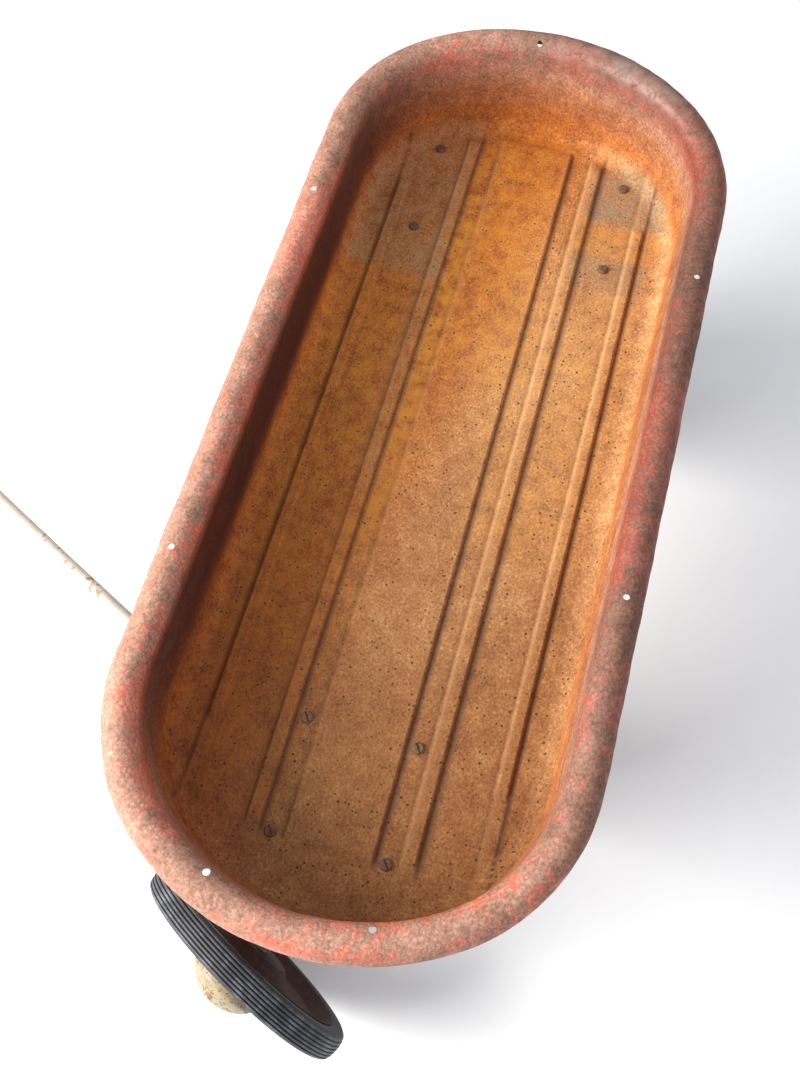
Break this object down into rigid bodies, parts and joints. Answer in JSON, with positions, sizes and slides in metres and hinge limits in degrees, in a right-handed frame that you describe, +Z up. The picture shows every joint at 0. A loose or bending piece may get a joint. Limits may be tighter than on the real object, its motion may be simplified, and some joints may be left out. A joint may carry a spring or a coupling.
{
  "type": "coaster wagon with pull handle",
  "caption": "Pressed steel child's wagon: rounded tub with a rolled rim, rubber-tyred wheels, a steering front truck and a pull handle lying out to the ground.",
  "frame": {"origin": "middle of the tub seen in plan, on the top face of the raised centre floor panel", "axes": "+X forward, towards the steering truck; +Y to the wagon's left; +Z up, square to the floor"},
  "size_m": [1.0002, 0.9595, 0.4361],
  "materials": {
    "worn_red_paint": "pressed steel; thin red paint worn to a satin coat on the rim, rust on the floor",
    "tyre_rubber": "moulded solid rubber, dry and dusty",
    "wheel_paint": "dark red paint gone dull",
    "cream_paint": "off-white gloss paint with rust specks",
    "undercarriage_paint": "dark red paint gone dull",
    "hub_steel": "worn grey steel",
    "rusted_fasteners": "brown rusted steel",
    "worn_steel": "steel browned by light rust"
  },
  "bodies": {
    "wagon_body": {"tub": "worn_red_paint", "front_bolster": "undercarriage_paint", "upper_turn_plate": "undercarriage_paint", "front_screws": "rusted_fasteners", "front_nuts": "worn_steel", "front_spring_washers": "worn_steel", "rear_bracket_left": "undercarriage_paint", "rear_bracket_right": "undercarriage_paint", "rear_bolts": "rusted_fasteners", "rear_nuts": "worn_steel", "rear_spring_washers": "worn_steel", "rear_axle": "worn_steel", "rear_axle_washers": "worn_steel", "rear_axle_sleeves": "worn_steel", "rear_split_pins": "worn_steel"},
    "truck": {"thrust_washer": "worn_steel", "lower_turn_plate": "undercarriage_paint", "fork_top_plate": "undercarriage_paint", "fork_leg_left": "undercarriage_paint", "fork_leg_right": "undercarriage_paint", "fork_stay": "undercarriage_paint", "tongue": "undercarriage_paint", "kingpin": "worn_steel", "kingpin_washer": "worn_steel", "kingpin_nut": "worn_steel", "kingpin_split_pin": "worn_steel", "front_axle": "worn_steel", "front_axle_washers": "worn_steel", "front_axle_sleeves": "worn_steel", "front_split_pins": "worn_steel", "handle_pivot_bolt": "worn_steel", "handle_pivot_nut": "worn_steel"},
    "handle": {"handle_tube": "cream_paint", "handle_socket": "cream_paint", "grip_loop": "cream_paint", "grip_collar": "cream_paint"},
    "rear_left_wheel": {"rear_left_tyre": "tyre_rubber", "rear_left_outer_disc": "wheel_paint", "rear_left_inner_disc": "wheel_paint", "rear_left_bush": "hub_steel", "rear_left_hub_cap": "cream_paint"},
    "rear_right_wheel": {"rear_right_tyre": "tyre_rubber", "rear_right_outer_disc": "wheel_paint", "rear_right_inner_disc": "wheel_paint", "rear_right_bush": "hub_steel", "rear_right_hub_cap": "cream_paint"},
    "front_left_wheel": {"front_left_tyre": "tyre_rubber", "front_left_outer_disc": "wheel_paint", "front_left_inner_disc": "wheel_paint", "front_left_bush": "hub_steel", "front_left_hub_cap": "cream_paint"},
    "front_right_wheel": {"front_right_tyre": "tyre_rubber", "front_right_outer_disc": "wheel_paint", "front_right_inner_disc": "wheel_paint", "front_right_bush": "hub_steel", "front_right_hub_cap": "cream_paint"}
  },
  "joints": [
    {"name": "steer", "type": "hinge", "parent": "wagon_body", "child": "truck", "pos_m": [0.3235, 0, -0.0832], "axis": [0, 0, 1], "range_deg": [-3, 237]},
    {"name": "handle_lift", "type": "hinge", "parent": "truck", "child": "handle", "pos_m": [0.29626, -0.05346, -0.20587], "axis": [-0.891, 0.454, 0], "range_deg": [0, 63]},
    {"name": "rear_left_roll", "type": "hinge", "parent": "wagon_body", "child": "rear_left_wheel", "pos_m": [-0.318, 0.16, -0.209], "axis": [0, 1, 0], "continuous": true},
    {"name": "rear_right_roll", "type": "hinge", "parent": "wagon_body", "child": "rear_right_wheel", "pos_m": [-0.318, -0.16, -0.209], "axis": [0, 1, 0], "continuous": true},
    {"name": "front_left_roll", "type": "hinge", "parent": "truck", "child": "front_left_wheel", "pos_m": [0.47044, -0.06365, -0.20958], "axis": [0.8868, -0.4518, -0.0976], "continuous": true},
    {"name": "front_right_roll", "type": "hinge", "parent": "truck", "child": "front_right_wheel", "pos_m": [0.18564, 0.08147, -0.20958], "axis": [0.8868, -0.4518, 0.0976], "continuous": true}
  ]
}
